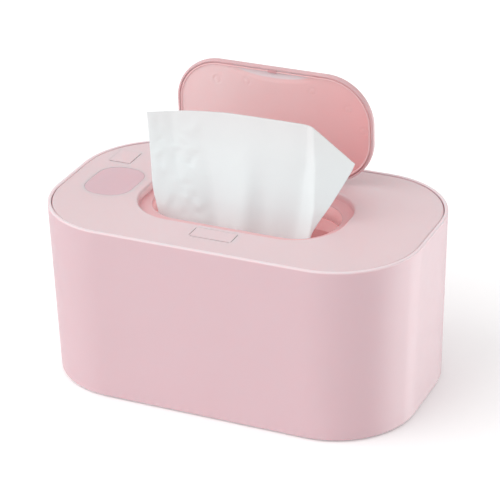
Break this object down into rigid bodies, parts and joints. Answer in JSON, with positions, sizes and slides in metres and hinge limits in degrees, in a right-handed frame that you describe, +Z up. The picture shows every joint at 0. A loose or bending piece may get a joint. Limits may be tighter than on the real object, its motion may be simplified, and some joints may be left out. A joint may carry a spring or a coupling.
{
  "type": "baby wipe warmer",
  "caption": "Round-cornered wipe warmer with a heated tub, a lift-off top cover, an oblong mouth, a sprung flip lid standing open, a latch button, a key, and a wipe standing out of the mouth.",
  "frame": {"origin": "on the floor below the centre of the housing", "axes": "+X along the length, window end at -X; -Y is the front with the latch button, +Y the back with the lid's hinge and the power inlet; +Z up"},
  "size_m": [0.2, 0.1174, 0.1538],
  "materials": {
    "casing_plastic": "soft satin pink",
    "cover_plastic": "soft satin pink",
    "liner_plastic": "satin pink, slightly deeper",
    "tub_plastic": "satin, deeper pink",
    "window_plastic": "smooth tinted window",
    "seal_rubber": "soft silicone",
    "foot_rubber": "matt grey",
    "steel": "plain drawn and plated steel",
    "contact_brass": "plated contacts in a dark block",
    "circuit_board": "green resist",
    "black_plastic": "matt black",
    "white_plastic": "natural white",
    "film": "amber film",
    "foam": "closed-cell foam",
    "wipe_fabric": "soft nonwoven, slightly moist"
  },
  "bodies": {
    "housing": {"outer_casing": "casing_plastic", "base_plate": "casing_plastic", "base_screws": "steel", "rubber_feet": "foot_rubber", "inner_tub": "tub_plastic", "heating_film": "film", "insulation_pad": "foam", "insulation_wrap": "foam", "temperature_sensor": "black_plastic", "thermal_cutout": "steel", "main_board": "circuit_board", "board_parts": "black_plastic", "board_screws": "steel", "power_inlet": "steel", "contact_pads": "contact_brass", "wipe_stack": "wipe_fabric"},
    "cover": {"top_cover": "cover_plastic", "cover_liner": "tub_plastic", "cover_screws": "steel", "touch_window": "window_plastic", "display_board": "circuit_board", "led_module": "black_plastic", "tact_switch": "black_plastic", "contact_pins": "contact_brass", "hinge_pin": "steel", "torsion_springs": "steel", "latch_spring": "steel", "wipe_sheet": "wipe_fabric"},
    "lid": {"lid_shell": "cover_plastic", "lid_liner": "liner_plastic", "lid_seal": "seal_rubber", "hinge_arms": "liner_plastic", "hinge_screws": "steel"},
    "button": {"latch_button": "cover_plastic"},
    "slider": {"latch_slider": "white_plastic"},
    "key": {"power_key": "cover_plastic", "switch_plunger": "black_plastic"}
  },
  "joints": [
    {"name": "cover_lift", "type": "slide", "parent": "housing", "child": "cover", "axis": [0, 0, 1], "range_m": [0, 0.03]},
    {"name": "lid_hinge", "type": "hinge", "parent": "cover", "child": "lid", "pos_m": [0, 0.0351, 0.0881], "axis": [1, 0, 0], "range_deg": [0, 88], "stiffness_Nm_per_rad": 0.008, "springref_deg": -45.84, "deforming": ["wipe_sheet", "torsion_springs"]},
    {"name": "button_press", "type": "slide", "parent": "cover", "child": "button", "axis": [0, 0, -1], "range_m": [0, 0.0012], "stiffness_N_per_m": 800},
    {"name": "latch_slide", "type": "slide", "parent": "cover", "child": "slider", "axis": [0, -1, 0], "range_m": [0, 0.0012], "deforming": ["latch_spring"]},
    {"name": "key_press", "type": "slide", "parent": "cover", "child": "key", "axis": [0, 0, -1], "range_m": [0, 0.0005], "stiffness_N_per_m": 1200}
  ],
  "couplings": [
    {"joint": "latch_slide", "follows": "button_press", "ratio": 1}
  ]
}
